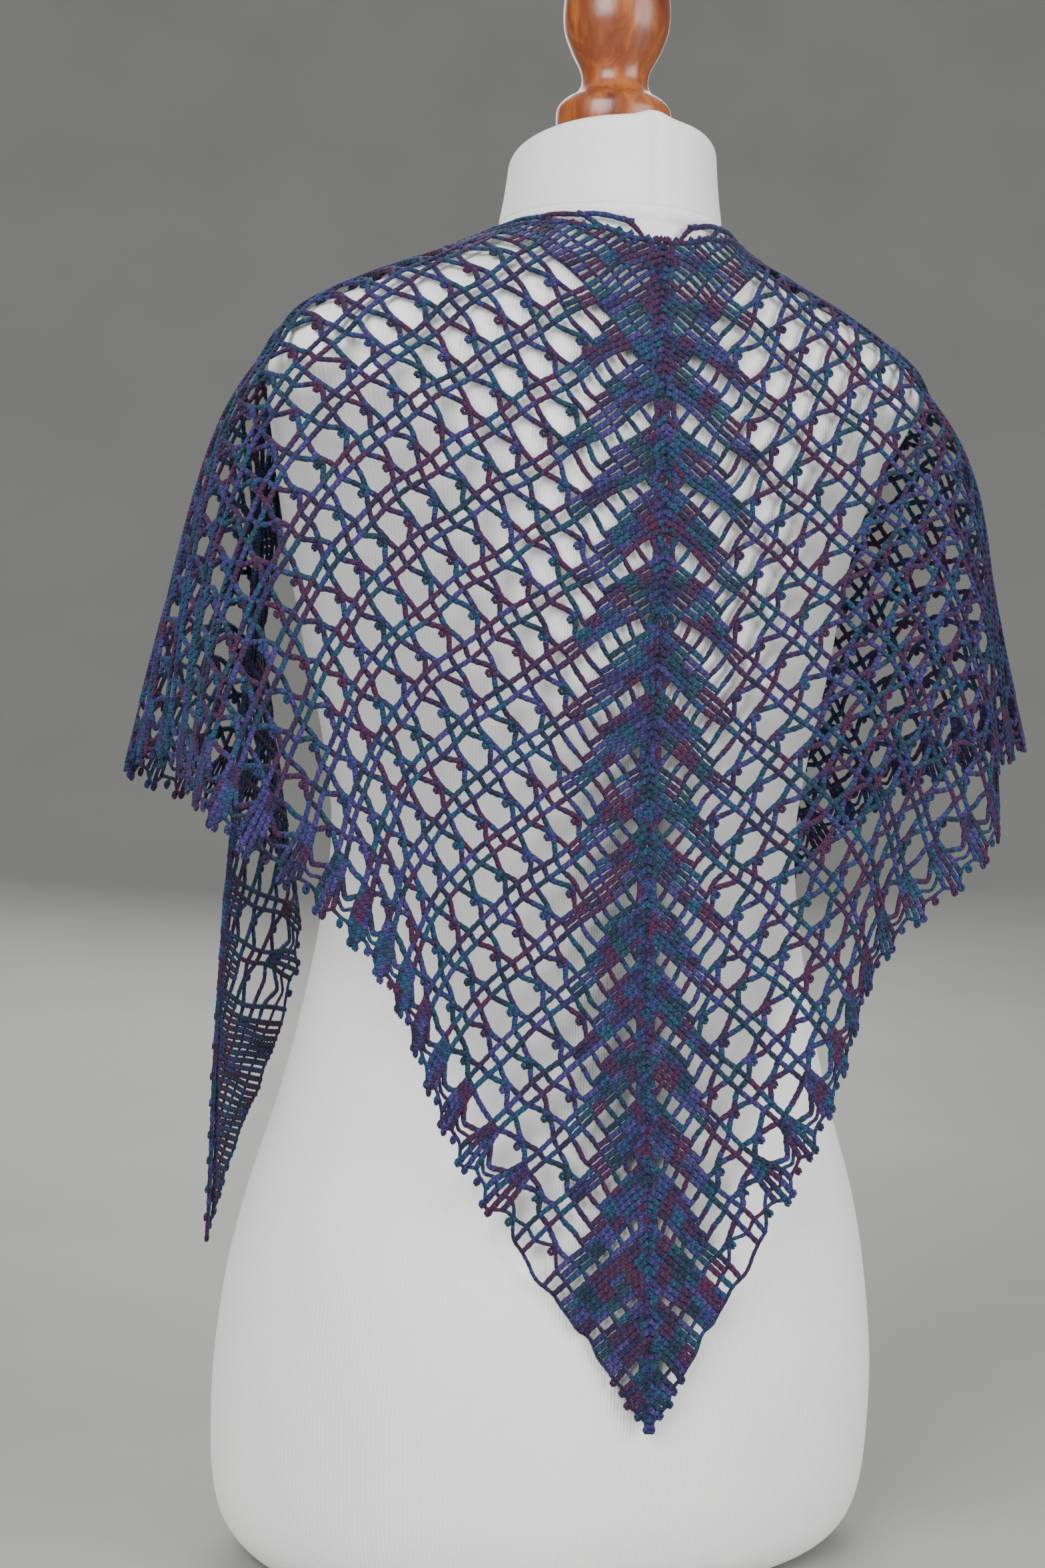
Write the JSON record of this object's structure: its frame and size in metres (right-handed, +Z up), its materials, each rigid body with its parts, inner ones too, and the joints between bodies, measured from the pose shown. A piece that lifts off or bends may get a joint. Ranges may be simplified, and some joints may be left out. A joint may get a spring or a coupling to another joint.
{
  "type": "lace shawl on a limbless dress form",
  "caption": "Crocheted lace triangle shawl worn over the shoulders of a smooth limbless dress form with a turned wooden neck knob.",
  "frame": {"origin": "centre of the dress form's flat underside", "axes": "+Z up along the form, -Y towards the form's front, +X towards the form's left"},
  "size_m": [0.4966, 0.2928, 0.831],
  "materials": {
    "form_jersey": "matt white cotton jersey, fine rib",
    "turned_wood": "satin varnished reddish brown hardwood",
    "hand_dyed_yarn": "hand-dyed yarn in navy, indigo, teal and plum, soft sheen"
  },
  "bodies": {
    "root": {"torso": "form_jersey", "neck_cap": "form_jersey", "knob": "turned_wood", "neck_start": "hand_dyed_yarn", "back_wing_left": "hand_dyed_yarn", "back_wing_right": "hand_dyed_yarn", "side_flute_left": "hand_dyed_yarn", "side_flute_right": "hand_dyed_yarn", "front_tail_left": "hand_dyed_yarn", "front_tail_right": "hand_dyed_yarn", "hem_edging_back_left": "hand_dyed_yarn", "hem_edging_back_right": "hand_dyed_yarn", "hem_edging_side_left": "hand_dyed_yarn", "hem_edging_side_right": "hand_dyed_yarn", "hem_edging_front_left": "hand_dyed_yarn", "hem_edging_front_right": "hand_dyed_yarn"}
  },
  "joints": []
}
